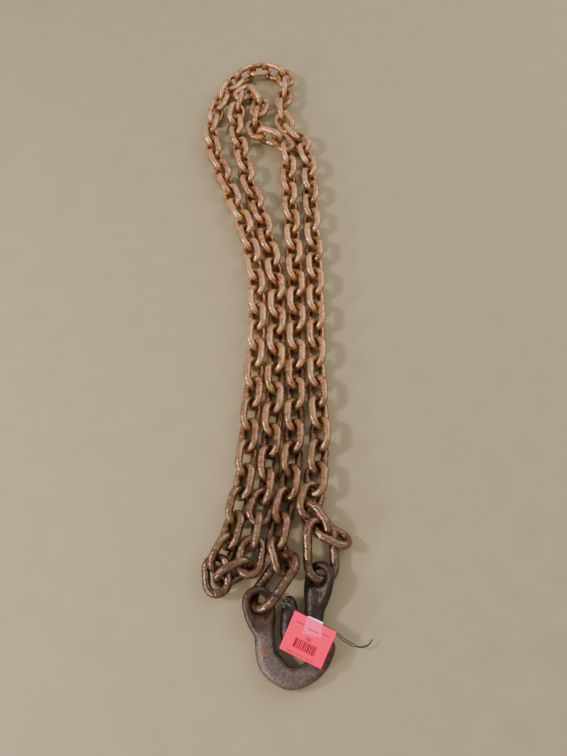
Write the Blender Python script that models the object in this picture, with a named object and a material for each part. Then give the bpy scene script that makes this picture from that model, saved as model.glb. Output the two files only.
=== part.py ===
"""Heap of steel chain: round-wire links laid in four strands, an eye hook at each end, and a card tag.

Metres, +Z up, floor at Z 0. The strands run along Y and the hooks lie at the -Y end.
"""
import math

import bmesh
import bpy
import numpy as np
from mathutils import Matrix, Vector

# Chain link
WIRE = 0.010
LINK_INSIDE_LENGTH = 0.031
LINK_INSIDE_WIDTH = 0.015
SECTION_SHARE = 0.55
JOIN_BITE = 0.0005
LOOP_BITE = 0.0006
JOINT_GAP = 0.00035
LINKS_IN_GROUP = 3
LEAN = 45.0

# Coupling link at each end of the chain
COUPLING_WIRE = 0.0112
COUPLING_INSIDE_LENGTH = 0.057
COUPLING_INSIDE_WIDTH = 0.0232

# Hooks
HOOK_WIDTH = 0.023
HOOK_THICKNESS = 0.021
HOOK_ROUNDNESS = 0.95
EYE_SECTION = 0.0085
SLIP_EYE_ACROSS = 0.038
GRAB_EYE_ACROSS = 0.037
SLIP_EYE_HEIGHT = 0.0170
GRAB_EYE_HEIGHT = 0.0165

# Card tag and its tie
TAG_THICKNESS = 0.0012
TAG_HEIGHT = 0.0262
TIE_ACROSS = 0.0028

# Links laid by hand: x, y, z of the middle, heading, pitch and roll in degrees
FIRST_LINK = (0.0189, -0.3927, 0.0150, 106, 1, -50)
NEAR_LOOP = [
    (-0.0035, -0.3339, 0.0160, -111, 5, 11), (-0.0097, -0.3635, 0.0176, -99, 0, 101),
    (-0.0150, -0.3933, 0.0170, -99, 0, -1), (-0.0346, -0.4111, 0.0166, 207, 0, 64),
    (-0.0543, -0.4143, 0.0150, 98, -1, 7), (-0.0480, -0.3892, 0.0153, 64, -1, -52),
]
OUTER_LINKS = 59
LAST_LINKS = [
    (0.0564, -0.3268, 0.0173, -107, 3, 29), (0.0614, -0.3501, 0.0164, -55, 3, -55),
    (0.0813, -0.3682, 0.0144, -26, -2, 45),
]
SLIP_COUPLING = (0.0127, -0.4217, 0.0229, 53, 6, 46)
GRAB_COUPLING = (0.0669, -0.3854, 0.0176, -89, -4, 21)

# Routes that a chain follows: x, y, lift over the resting height, flatness
INNER_ROUTE = [
    (0.0115, -0.4170, 0, 0.1), (0.0132, -0.3946, 0, 0), (0.0165, -0.3650, 0, 0), (0.0240, -0.3330, 0, 0),
    (0.0308, -0.3020, 0, 0), (0.0359, -0.2456, 0, 0), (0.0387, -0.1876, 0, 0), (0.0403, -0.1251, 0, 0),
    (0.0417, -0.0575, 0, 0), (0.0420, -0.0032, 0, 0), (0.0400, 0.0547, 0, 0), (0.0370, 0.1164, 0, 0),
    (0.0330, 0.1824, 0, 0), (0.0310, 0.2409, 0, 0), (0.0300, 0.2828, 0.0014, 0.4), (0.0230, 0.3173, 0, 1),
    (0.0050, 0.3340, 0, 1), (-0.0230, 0.3420, 0, 1), (-0.0300, 0.3780, 0, 1), (-0.0200, 0.4160, 0, 1),
    (-0.0185, 0.4465, 0, 1), (-0.0360, 0.4625, 0, 1), (-0.0545, 0.4505, 0, 1),
    (-0.0605, 0.4130, 0.0005, 0.5), (-0.0655, 0.3830, 0.0003, 0), (-0.0618, 0.3540, 0, 0),
    (-0.0578, 0.3278, 0, 0), (-0.0508, 0.3019, 0, 0), (-0.0452, 0.2700, 0, 0), (-0.0395, 0.2350, 0, 0),
    (-0.0318, 0.2043, 0, 0), (-0.0240, 0.1824, 0, 0), (-0.0120, 0.1379, 0, 0), (-0.0030, 0.0954, 0, 0),
    (0.0065, 0.0507, 0, 0), (0.0129, -0.0032, 0, 0), (0.0133, -0.0575, 0, 0), (0.0118, -0.1251, 0, 0),
    (0.0103, -0.1876, 0, 0), (0.0073, -0.2315, 0, 0), (0.0046, -0.2730, 0.0004, 0),
    (0.0030, -0.3050, 0.0012, 0.2), (-0.0020, -0.3400, 0, 1),
]
OUTER_ROUTE = [
    (-0.0406, -0.3698, 0, 0), (-0.0385, -0.3620, 0, 0), (-0.0319, -0.3330, 0, 0), (-0.0266, -0.3040, 0, 0),
    (-0.0248, -0.2864, 0, 0), (-0.0230, -0.2525, 0, 0), (-0.0216, -0.2315, 0, 0), (-0.0187, -0.1876, 0, 0),
    (-0.0167, -0.1251, 0, 0), (-0.0152, -0.0575, 0, 0), (-0.0167, -0.0032, 0, 0), (-0.0234, 0.0507, 0, 0),
    (-0.0316, 0.0912, 0, 0), (-0.0420, 0.1336, 0, 0), (-0.0600, 0.1824, 0, 0), (-0.0740, 0.2242, 0, 0),
    (-0.0880, 0.2654, 0, 0), (-0.1013, 0.3082, 0, 0), (-0.1083, 0.3500, 0, 0), (-0.1035, 0.3900, 0, 0),
    (-0.0945, 0.4330, 0.0005, 0.5), (-0.0775, 0.4780, 0, 1), (-0.0530, 0.5147, 0, 1),
    (-0.0260, 0.5257, 0, 1), (-0.0010, 0.5267, 0, 1), (0.0235, 0.5107, 0, 1), (0.0265, 0.4600, 0, 1),
    (0.0195, 0.4108, 0.0009, 1.5), (0.0220, 0.3773, 0.0003, 1.7), (0.0352, 0.3563, 0, 2),
    (0.0523, 0.3300, 0, 2), (0.0633, 0.2904, 0, 2), (0.0675, 0.2409, 0, 2), (0.0679, 0.1824, 0, 2),
    (0.0689, 0.1271, 0, 2), (0.0709, 0.0707, 0, 2), (0.0708, 0.0024, 0, 2), (0.0701, -0.0611, 0, 2),
    (0.0688, -0.1283, 0, 2), (0.0693, -0.1876, 0, 2), (0.0711, -0.2315, 0, 2), (0.0687, -0.2594, 0, 2),
    (0.0650, -0.2864, 0, 2), (0.0620, -0.3124, 0, 1.5), (0.0590, -0.3425, 0, 1), (0.0585, -0.3600, 0, 1),
    (0.0580, -0.3700, 0, 1),
]

# Hook bodies: x, y of the middle line and the width there as a share of HOOK_WIDTH
SLIP_SPINE = [
    (-0.0052, -0.4575, 0.74), (-0.0014, -0.4659, 1.20), (0.0015, -0.4761, 1.00), (0.0033, -0.4922, 1.00),
    (0.0068, -0.5025, 1.10), (0.0140, -0.5110, 1.10), (0.0225, -0.5173, 1.00), (0.0310, -0.5202, 0.98),
    (0.0445, -0.5172, 0.94), (0.0564, -0.5102, 0.94), (0.0640, -0.5005, 0.98), (0.0684, -0.4900, 1.00),
    (0.0690, -0.4860, 0.92), (0.0689, -0.4815, 0.66), (0.0687, -0.4775, 0.28),
]
SLIP_EYE = (-0.0057, -0.4448)
GRAB_SPINE = [
    (0.0625, -0.4290, 1.25), (0.0605, -0.4385, 1.15), (0.0586, -0.4500, 0.98), (0.0563, -0.4620, 0.94),
    (0.0525, -0.4720, 0.88), (0.0488, -0.4795, 0.82), (0.0440, -0.4855, 0.80), (0.0380, -0.4880, 0.80),
    (0.0320, -0.4855, 0.80), (0.0290, -0.4785, 0.80), (0.0285, -0.4700, 0.82), (0.0292, -0.4600, 0.83),
    (0.0298, -0.4500, 0.80), (0.0297, -0.4430, 0.68), (0.0295, -0.4385, 0.48), (0.0293, -0.4360, 0.24),
]
GRAB_EYE = (0.0645, -0.4168)
SLIP_EYE_TILT = (65, 20)
GRAB_EYE_TILT = (-95, 28)

# Tag corners seen from above, and the tie's route
TAG_CORNERS = [(0.0357, -0.4532), (0.0810, -0.4755), (0.0625, -0.5112), (0.0182, -0.4912)]
TIE_ROUTE = [
    (0.0058, -0.4343, 0.0262), (0.0072, -0.4358, 0.0362), (0.0110, -0.4384, 0.0438), (0.0166, -0.4412, 0.0436),
    (0.0212, -0.4438, 0.0368), (0.0246, -0.4460, 0.0285), (0.0292, -0.4490, 0.0243), (0.0370, -0.4530, 0.0231),
    (0.0480, -0.4590, 0.0230), (0.0600, -0.4655, 0.0230), (0.0720, -0.4715, 0.0225), (0.0809, -0.4765, 0.0210),
    (0.0880, -0.4815, 0.0180), (0.0956, -0.4856, 0.0140), (0.1030, -0.4882, 0.0105), (0.1095, -0.4891, 0.0085),
    (0.1165, -0.4870, 0.0080), (0.1225, -0.4809, 0.0075),
]

# Where the frame's origin, the middle of the heap's underside, puts the zero of the routes
ORIGIN_SHIFT = (0.0081, -0.0074, 0.0002)

UP = np.array([0.0, 0.0, 1.0])
PATH_STEPS = 16
END_ANGLES = np.radians([-67.5, -22.5, 22.5, 67.5])
LINK_ARC = (LINK_INSIDE_WIDTH + WIRE) / 2
LINK_SPAN = LINK_INSIDE_LENGTH - LINK_INSIDE_WIDTH
LINK_RADIUS = WIRE * SECTION_SHARE
COUPLING_ARC = (COUPLING_INSIDE_WIDTH + COUPLING_WIRE) / 2
COUPLING_SPAN = COUPLING_INSIDE_LENGTH - COUPLING_INSIDE_WIDTH
COUPLING_RADIUS = COUPLING_WIRE * SECTION_SHARE
TOUCHING = 2 * (LINK_ARC - LINK_RADIUS * math.cos(math.radians(22.5)))


def clear_scene():
    """Remove every object that the startup scene holds."""
    for thing in list(bpy.data.objects):
        bpy.data.objects.remove(thing)


def smooth(rows):
    """Points along a Catmull-Rom curve through the rows."""
    rows = np.asarray(rows, float)
    ends = np.vstack([2 * rows[0] - rows[1], rows, 2 * rows[-1] - rows[-2]])
    out = []
    for i in range(1, len(ends) - 2):
        p0, p1, p2, p3 = ends[i - 1:i + 3]
        t = np.linspace(0, 1, PATH_STEPS, endpoint=False)[:, None]
        cubic = 3 * p1 - p0 - 3 * p2 + p3
        square = 2 * p0 - 5 * p1 + 4 * p2 - p3
        out.append(0.5 * (2 * p1 + (p2 - p0) * t + square * t ** 2 + cubic * t ** 3))
    return np.vstack(out + [rows[-1:]])


def resting(row):
    """The row with its height: the lower of a link's two sides touches the floor."""
    x, y, lift, flat = row
    one = abs(math.sin(math.radians(LEAN * (1 + flat))))
    other = abs(math.sin(math.radians(LEAN * (1 - flat))))
    return np.array([x, y, 0.94 * LINK_RADIUS + LINK_ARC * max(one, other) + lift, flat])


def joint(number, flat, shift):
    """How far one arc centre lies past the other at this joint: links of one group bite into each other."""
    if (number - shift) % LINKS_IN_GROUP == LINKS_IN_GROUP - 1:
        return TOUCHING - JOINT_GAP
    return TOUCHING + JOIN_BITE + LOOP_BITE * max(0, 1 - abs(1 - flat))


def crossing(curve, first, here, chord):
    """The next place on the curve that lies one chord from here, with its segment number."""
    for i in range(first, len(curve) - 1):
        a, b = curve[i], curve[i + 1]
        d, m = b[:3] - a[:3], a[:3] - here
        qa, qb, qc = d @ d, 2 * d @ m, m @ m - chord * chord
        inside = qb * qb - 4 * qa * qc
        if inside < 0 or qa == 0:
            continue
        s = (-qb + inside ** 0.5) / (2 * qa)
        if 0 <= s <= 1:
            return i, a + s * (b - a)
    return None


def walk(route, parity, shift):
    """Corners along the route: a link's own span, then a bridge over the next link, in turn."""
    curve = np.array([resting(row) for row in smooth(route)])
    corners = [curve[0]]
    at = 0
    while True:
        k = len(corners) - 1
        flat = corners[k][3]
        chord = LINK_SPAN
        if (k + parity) % 2:
            chord += joint(k - 1, flat, shift) + joint(k, flat, shift)
        hit = crossing(curve, at, corners[-1][:3], chord)
        if hit is None:
            return corners
        at, spot = hit
        corners.append(spot)


def rolled(heading, roll):
    """Unit vector across a link that points along heading and is rolled by roll radians."""
    side = np.cross(heading, UP)
    side /= np.linalg.norm(side)
    return math.cos(roll) * side + math.sin(roll) * np.cross(side, heading)


def laid(route, parity, shift=0, most=999):
    """Each link of a strand as (one arc centre, the other, the direction across it)."""
    corners = walk(route, parity, shift)
    out = []
    for k in range(min(most, len(corners) - 1)):
        a, b = corners[k][:3], corners[k + 1][:3]
        heading = (b - a) / np.linalg.norm(b - a)
        flat = (corners[k][3] + corners[k + 1][3]) / 2
        lean = LEAN * (1 - flat)
        if (k + parity) % 2:
            a = a + heading * joint(k - 1, corners[k][3], shift)
            b = a + heading * LINK_SPAN
            lean = -LEAN * (1 + flat)
        out.append((a, b, rolled(heading, math.radians(lean))))
    return out


def placed(row, span):
    """One link from its middle, heading, pitch and roll."""
    turn, pitch, roll = (math.radians(v) for v in row[3:])
    heading = np.array([math.cos(turn) * math.cos(pitch), math.sin(turn) * math.cos(pitch), math.sin(pitch)])
    middle = np.array(row[:3], float)
    return middle - heading * span / 2, middle + heading * span / 2, rolled(heading, roll)


def centre_line(link, arc):
    """Eight corners round a link, with the ends drawn round their arcs."""
    a, b, across = link
    heading = (b - a) / np.linalg.norm(b - a)
    reach = arc / math.cos(math.radians(22.5))
    fan = np.cos(END_ANGLES)[:, None] * heading + np.sin(END_ANGLES)[:, None] * across
    return np.vstack([b + reach * fan, a - reach * fan])


def mesh_object(name, mesh):
    """A scene object that holds the mesh."""
    thing = bpy.data.objects.new(name, mesh)
    bpy.context.scene.collection.objects.link(thing)
    return thing


def from_curve(name, data):
    """The mesh of a curve, with its seams merged, as an object."""
    guide = bpy.data.objects.new(name + ".guide", data)
    bpy.context.scene.collection.objects.link(guide)
    bpy.context.view_layer.update()
    graph = bpy.context.evaluated_depsgraph_get()
    mesh = bpy.data.meshes.new_from_object(guide.evaluated_get(graph))
    bpy.data.objects.remove(guide)
    tidy = bmesh.new()
    tidy.from_mesh(mesh)
    bmesh.ops.remove_doubles(tidy, verts=tidy.verts, dist=1e-6)
    bmesh.ops.recalc_face_normals(tidy, faces=tidy.faces)
    tidy.to_mesh(mesh)
    tidy.free()
    mesh.name = name
    return mesh_object(name, mesh)


def wire_curve(name, points, radius, sides, cyclic=False, shares=None):
    """A straight-sided curve through the points with a round bevel of the given number of sides."""
    data = bpy.data.curves.new(name, "CURVE")
    data.dimensions = "3D"
    data.twist_mode = "Z_UP"
    data.bevel_depth = radius
    data.bevel_resolution = sides // 2 - 2
    data.use_fill_caps = not cyclic
    spline = data.splines.new("POLY")
    spline.points.add(len(points) - 1)
    for spot, point, share in zip(spline.points, points, shares or [1] * len(points)):
        spot.co = (*point, 1)
        spot.radius = share
    spline.use_cyclic_u = cyclic
    return data


def link_object(name, link, arc, radius):
    """One link: made flat round its own middle, then placed where it lies."""
    a, b, across = link
    span = float(np.linalg.norm(b - a))
    flat = (np.array([-span / 2, 0, 0]), np.array([span / 2, 0, 0]), np.array([0.0, 1.0, 0.0]))
    thing = from_curve(name, wire_curve(name, centre_line(flat, arc), radius, 6, cyclic=True))
    heading = (b - a) / span
    thing.location = (a + b) / 2
    axes = Matrix((heading, across, np.cross(heading, across))).transposed()
    thing.rotation_euler = axes.to_euler()
    return thing


def combine(target, others, operation):
    """Apply the Boolean operation of each other object to the target, then remove the others."""
    for other in others:
        step = target.modifiers.new("combine", "BOOLEAN")
        step.operation = operation
        step.solver = "EXACT"
        step.object = other
    bpy.context.view_layer.update()
    graph = bpy.context.evaluated_depsgraph_get()
    mesh = bpy.data.meshes.new_from_object(target.evaluated_get(graph))
    target.modifiers.clear()
    target.data = mesh
    for other in others:
        bpy.data.objects.remove(other)
    return target


def link(name, pose, coupling=False):
    """One chain link, or one of the larger coupling links."""
    if coupling:
        return link_object(name, pose, COUPLING_ARC, COUPLING_RADIUS)
    return link_object(name, pose, LINK_ARC, LINK_RADIUS)


def strand(name, links, shift=0, skipped=0):
    """A strand as objects of LINKS_IN_GROUP joined links each, without the first skipped links."""
    out = []
    for first in range(shift - LINKS_IN_GROUP if shift else 0, len(links), LINKS_IN_GROUP):
        group = links[max(first, skipped):first + LINKS_IN_GROUP]
        label = f"{name}_{len(out) + 1:02d}"
        made = [link(f"{label}.{k}", pose) for k, pose in enumerate(group)]
        made[0].name = label
        out.append(combine(made[0], made[1:], "UNION"))
    return out


def hook_body(name, spine):
    """A forged hook without its eye: a tapering bar, its top and underside flattened."""
    rows = smooth([(x, y, share) for x, y, share in spine])[::PATH_STEPS // 4]
    line = [(x, y, 0) for x, y, _ in rows]
    shares = [float(share) for share in rows[:, 2]]
    thing = from_curve(name, wire_curve(name, line, HOOK_WIDTH / 2, 12, shares=shares))
    thing.data.transform(Matrix.Diagonal((1, 1, HOOK_ROUNDNESS, 1)))
    thing.location = (0, 0, HOOK_THICKNESS / 2)
    bpy.ops.mesh.primitive_cube_add(size=1, location=(rows[0][0], rows[0][1], HOOK_THICKNESS / 2))
    slab = bpy.context.active_object
    slab.scale = (0.4, 0.4, HOOK_THICKNESS)
    return combine(thing, [slab], "INTERSECT")


def eye(name, spot, height, across, turn, tilt):
    """The round eye of a hook, tilted by its coupling link about the line that points along turn."""
    bpy.ops.mesh.primitive_torus_add(
        major_segments=24,
        minor_segments=8,
        major_radius=(across - EYE_SECTION) / 2,
        minor_radius=EYE_SECTION / 2,
    )
    thing = bpy.context.active_object
    thing.name = name
    line = Vector((math.cos(math.radians(turn)), math.sin(math.radians(turn)), 0))
    thing.location = (*spot, height)
    thing.rotation_euler = Matrix.Rotation(math.radians(tilt), 3, line).to_euler()
    return thing


def tag():
    """The card, a thin flat sheet over the hooks."""
    form = bmesh.new()
    low = [form.verts.new((x, y, TAG_HEIGHT - TAG_THICKNESS)) for x, y in TAG_CORNERS]
    face = form.faces.new(low)
    grown = bmesh.ops.extrude_face_region(form, geom=[face])
    top = [item for item in grown["geom"] if isinstance(item, bmesh.types.BMVert)]
    bmesh.ops.translate(form, verts=top, vec=(0, 0, TAG_THICKNESS))
    bmesh.ops.recalc_face_normals(form, faces=form.faces)
    mesh = bpy.data.meshes.new("price_tag")
    form.to_mesh(mesh)
    form.free()
    return mesh_object("price_tag", mesh)


def paint(thing, colour, metallic, roughness):
    """Give the object its own material."""
    made = bpy.data.materials.new(thing.name)
    made.use_nodes = True
    shader = made.node_tree.nodes["Principled BSDF"]
    shader.inputs["Base Color"].default_value = (*colour, 1)
    shader.inputs["Metallic"].default_value = metallic
    shader.inputs["Roughness"].default_value = roughness
    thing.data.materials.clear()
    thing.data.materials.append(made)


def gather(things, name):
    """Move the objects into a collection of this name and hang them on one empty."""
    home = bpy.data.collections.new(name)
    bpy.context.scene.collection.children.link(home)
    base = bpy.data.objects.new(name + "_base", None)
    base.location = ORIGIN_SHIFT
    home.objects.link(base)
    for thing in things:
        for old in list(thing.users_collection):
            old.objects.unlink(thing)
        home.objects.link(thing)
        thing.parent = base


def main():
    """Build the heap."""
    clear_scene()
    outer = laid(OUTER_ROUTE, 0, shift=1, most=OUTER_LINKS)
    steel = strand("inner_run", laid(INNER_ROUTE, 1), skipped=1)
    steel += strand("outer_run", outer[:-1], shift=1)
    for number, row in enumerate([FIRST_LINK] + NEAR_LOOP):
        steel.append(link(f"single_link_{number + 1}", placed(row, LINK_SPAN)))
    steel.append(link("slip_coupling", placed(SLIP_COUPLING, COUPLING_SPAN), coupling=True))
    ends = [link("end_links", outer[-1])]
    ends += [link(f"last_link_{k}", placed(row, LINK_SPAN)) for k, row in enumerate(LAST_LINKS)]
    ends.append(link("grab_coupling", placed(GRAB_COUPLING, COUPLING_SPAN), coupling=True))
    steel.append(combine(ends[0], ends[1:], "UNION"))

    ring = eye("slip_eye", SLIP_EYE, SLIP_EYE_HEIGHT, SLIP_EYE_ACROSS, *SLIP_EYE_TILT)
    steel.append(combine(hook_body("slip_hook", SLIP_SPINE), [ring], "UNION"))
    ring = eye("grab_eye", GRAB_EYE, GRAB_EYE_HEIGHT, GRAB_EYE_ACROSS, *GRAB_EYE_TILT)
    steel.append(combine(hook_body("grab_hook", GRAB_SPINE), [ring], "UNION"))
    card = tag()
    tie = from_curve("tag_tie", wire_curve("tag_tie", smooth(TIE_ROUTE)[::4], TIE_ACROSS / 2, 8))
    for thing in steel + [tie]:
        thing.data.shade_smooth()
        thing.data.set_sharp_from_angle(angle=math.radians(50))

    for thing in steel:
        paint(thing, (0.30, 0.17, 0.10), 0.0, 0.75)
    paint(card, (0.90, 0.12, 0.25), 0.0, 0.6)
    paint(tie, (0.02, 0.02, 0.02), 0.0, 0.4)
    gather(steel + [card, tie], "chain_heap")


main()
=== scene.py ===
"""Looks for a rusty steel tow chain laid in a long heap, with a slip hook, a grab hook and a card tag.

Every link, hook, the tag and its tie replace their CAD solids. All lengths are metres, +Z is up and the
strands run along +Y.
"""

import logging
import math
from dataclasses import dataclass, field
from enum import Enum
from typing import Any, Optional, Sequence

import bpy
import numpy as np
from mathutils import Matrix, Vector


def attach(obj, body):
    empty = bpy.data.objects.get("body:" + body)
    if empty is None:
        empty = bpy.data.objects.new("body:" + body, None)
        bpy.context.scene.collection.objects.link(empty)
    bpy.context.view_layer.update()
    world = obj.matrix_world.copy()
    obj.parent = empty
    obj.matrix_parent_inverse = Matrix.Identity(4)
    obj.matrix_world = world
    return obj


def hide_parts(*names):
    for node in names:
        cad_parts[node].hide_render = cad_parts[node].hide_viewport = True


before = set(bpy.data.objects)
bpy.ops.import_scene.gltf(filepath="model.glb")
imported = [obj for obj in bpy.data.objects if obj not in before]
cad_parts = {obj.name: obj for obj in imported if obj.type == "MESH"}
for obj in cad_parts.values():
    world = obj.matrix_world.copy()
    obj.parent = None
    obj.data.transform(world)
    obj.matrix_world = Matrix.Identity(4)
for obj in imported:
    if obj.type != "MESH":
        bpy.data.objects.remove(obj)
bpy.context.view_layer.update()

LOG = logging.getLogger("chain_heap")
BODY = "root"
MM = 0.001
UP = np.array([0.0, 0.0, 1.0])
ORIGIN_SHIFT = np.array([0.0081, -0.0074, 0.0002])
# How far the flats of the CAD's wire lie in from its corners, where links touch and where they rest
TOUCH_SHARE = math.cos(math.radians(22.5))
REST_SHARE = 0.94

# A spot is x, y, z and a radius, a pose is a link's two arc centres and the direction across it, and a part
# is points and faces
Row = Sequence[float]
Spot = tuple[float, float, float, float]
Pose = tuple[np.ndarray, np.ndarray, np.ndarray]
Part = tuple[np.ndarray, list]


def linear(code: str, alpha: float = 1.0) -> tuple[float, float, float, float]:
    """Turn an sRGB hex colour to linear light.

    Args:
        code: the colour as six hex digits after a hash sign.
        alpha: the fourth channel.

    Returns:
        The linear red, green, blue and alpha.
    """
    parts = [int(code[i:i + 2], 16) / 255 for i in (1, 3, 5)]
    light = [c / 12.92 if c <= 0.04045 else ((c + 0.055) / 1.055) ** 2.4 for c in parts]
    return light[0], light[1], light[2], alpha


def add(tree: Any, kind: str, inputs: Optional[dict] = None, stops: Optional[list] = None,
        **settings: Any) -> Any:
    """Add one shader node with its settings and links.

    Args:
        tree: the node tree.
        kind: the node's type name.
        inputs: socket name or number to a value, or to the output socket that feeds it.
        stops: places and colours of a colour ramp, in rising order.
        settings: the node's own properties.

    Returns:
        The new node.
    """
    made = tree.nodes.new(kind)
    for key, value in settings.items():
        setattr(made, key, value)
    for key, value in (inputs or {}).items():
        if isinstance(value, bpy.types.NodeSocket):
            tree.links.new(value, made.inputs[key])
        else:
            made.inputs[key].default_value = value
    if stops:
        ends = made.color_ramp.elements
        for element, (place, colour) in zip((ends[0], ends[1]), (stops[0], stops[-1])):
            element.position, element.color = place, colour
        for place, colour in stops[1:-1]:
            ends.new(place).color = colour
    return made


def blank_material(name: str) -> tuple[bpy.types.Material, Any, Any, Any]:
    """Start a node material.

    Args:
        name: the material's name.

    Returns:
        The material, its node tree, its shader and the socket that gives the object's own coordinates.
    """
    material = bpy.data.materials.new(name)
    material.use_nodes = True
    tree = material.node_tree
    return material, tree, tree.nodes["Principled BSDF"], add(tree, "ShaderNodeTexCoord").outputs["Object"]


def in_scene(name: str, data: Any) -> bpy.types.Object:
    """Make an object of a mesh, light or camera and link it to the scene.

    Args:
        name: the object's name.
        data: what it holds.

    Returns:
        The new object.
    """
    made = bpy.data.objects.new(name, data)
    bpy.context.scene.collection.objects.link(made)
    return made


def unit(rows: np.ndarray) -> np.ndarray:
    """Scale each vector to a length of one."""
    return rows / np.maximum(np.linalg.norm(rows, axis=-1, keepdims=True), 1e-9)


def full_turn(steps: int) -> np.ndarray:
    """Angles that go once round, without the last."""
    return np.linspace(0, 2 * math.pi, steps, endpoint=False)


def grid_faces(rows: int, columns: int, close_rows: bool, close_columns: bool) -> np.ndarray:
    """Number the quads of a grid of points.

    Args:
        rows: points along the first parameter.
        columns: points along the second parameter.
        close_rows: whether the last row meets the first.
        close_columns: whether the last column meets the first.

    Returns:
        An array of quads, four point numbers each.
    """
    i = np.arange(rows if close_rows else rows - 1)[:, None]
    j = np.arange(columns if close_columns else columns - 1)[None, :]
    here, down = i * columns, (i + 1) % rows * columns
    right = (j + 1) % columns
    return np.stack([here + j, here + right, down + right, down + j], axis=-1).reshape(-1, 4)


def capped(rows: int, columns: int) -> list[list[int]]:
    """Number the quads of a tube and close both of its ends.

    Args:
        rows: rings along the tube.
        columns: points round it.

    Returns:
        The point numbers of each face.
    """
    last = (rows - 1) * columns
    ends = [list(range(columns))[::-1], list(range(last, last + columns))]
    return grid_faces(rows, columns, False, True).tolist() + ends


def tube(line: np.ndarray, radius: np.ndarray, columns: int) -> Part:
    """Sweep a circle along a line.

    A point is the line plus the radius times (cos v sideways + sin v upwards).

    Args:
        line: the middle line's points.
        radius: its radius at each of them.
        columns: points round it.

    Returns:
        Points and faces, with both ends closed.
    """
    tangent = unit(np.gradient(line, axis=0))
    side = unit(np.cross(tangent, UP))
    rise = np.cross(side, tangent)
    v = full_turn(columns)
    ring = np.cos(v)[None, :, None] * side[:, None] + np.sin(v)[None, :, None] * rise[:, None]
    points = line[:, None] + radius[:, None, None] * ring
    return points.reshape(-1, 3), capped(len(line), columns)


def joined(parts: Sequence[Part]) -> Part:
    """Put several closed surfaces into one list of points and one of faces.

    Args:
        parts: points and faces of each.

    Returns:
        All the points, and all the faces numbered to match.
    """
    points, faces, base = [], [], 0
    for part, sides in parts:
        points.append(part)
        faces += [[base + k for k in side] for side in sides]
        base += len(part)
    return np.vstack(points), faces


def mesh_piece(name: str, points: np.ndarray, faces: Sequence,
               channels: Optional[dict] = None) -> bpy.types.Object:
    """Put a computed surface into a smooth-shaded object at the origin.

    Args:
        name: the piece's name.
        points: one row of x, y, z for each point.
        faces: point numbers of each face.
        channels: names of point attributes to arrays of one number a point.

    Returns:
        The new object, linked to the scene.
    """
    mesh = bpy.data.meshes.new(name)
    mesh.from_pydata(points.tolist(), [], [list(face) for face in faces])
    for key, values in (channels or {}).items():
        layer = mesh.attributes.new(key, "FLOAT", "POINT")
        layer.data.foreach_set("value", np.ascontiguousarray(values, np.float32).ravel())
    mesh.validate()
    mesh.update()
    mesh.shade_smooth()
    return in_scene(name, mesh)


def through(rows: Sequence[Row], steps: int = 16) -> np.ndarray:
    """Draw a Catmull-Rom curve: each stretch is a cubic whose slopes come from the rows beside it.

    Args:
        rows: the points, of any number of columns.
        steps: points for each stretch.

    Returns:
        The points along the curve.
    """
    known = np.asarray(rows, float)
    known = np.vstack([2 * known[0] - known[1], known, 2 * known[-1] - known[-2]])
    t = np.linspace(0, 1, steps, endpoint=False)[None, :, None]
    p0, p1, p2, p3 = (known[k:len(known) - 3 + k][:, None] for k in range(4))
    curve = 0.5 * (2 * p1 + (p2 - p0) * t + (2 * p0 - 5 * p1 + 4 * p2 - p3) * t ** 2
                   + (3 * p1 - p0 - 3 * p2 + p3) * t ** 3)
    return np.vstack([curve.reshape(-1, known.shape[1]), known[-2:-1]])


def finish_piece(piece: bpy.types.Object, material: bpy.types.Material, slot: str, *nodes: str) -> None:
    """Dress a piece, make it ride and let it stand for its CAD nodes.

    Args:
        piece: the finished object.
        material: its material.
        slot: the record's material slot; not used.
        nodes: the CAD nodes that it replaces.
    """
    piece.data.materials.clear()
    piece.data.materials.append(material)
    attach(piece, BODY)
    if nodes:
        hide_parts(*nodes)
    LOG.info("%s stands for %s", piece.name, ", ".join(nodes) or "no node")


class Weld(Enum):
    """Which straight side of a link carries its butt weld."""

    LEFT = -1
    RIGHT = 1


@dataclass(frozen=True)
class Patch:
    """Where a colour comes in: noise of one size in millimetres, and the values between which it does."""

    size_mm: float
    detail: float
    shift: float
    low: float
    high: float
    rough: float = 0.55


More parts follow.
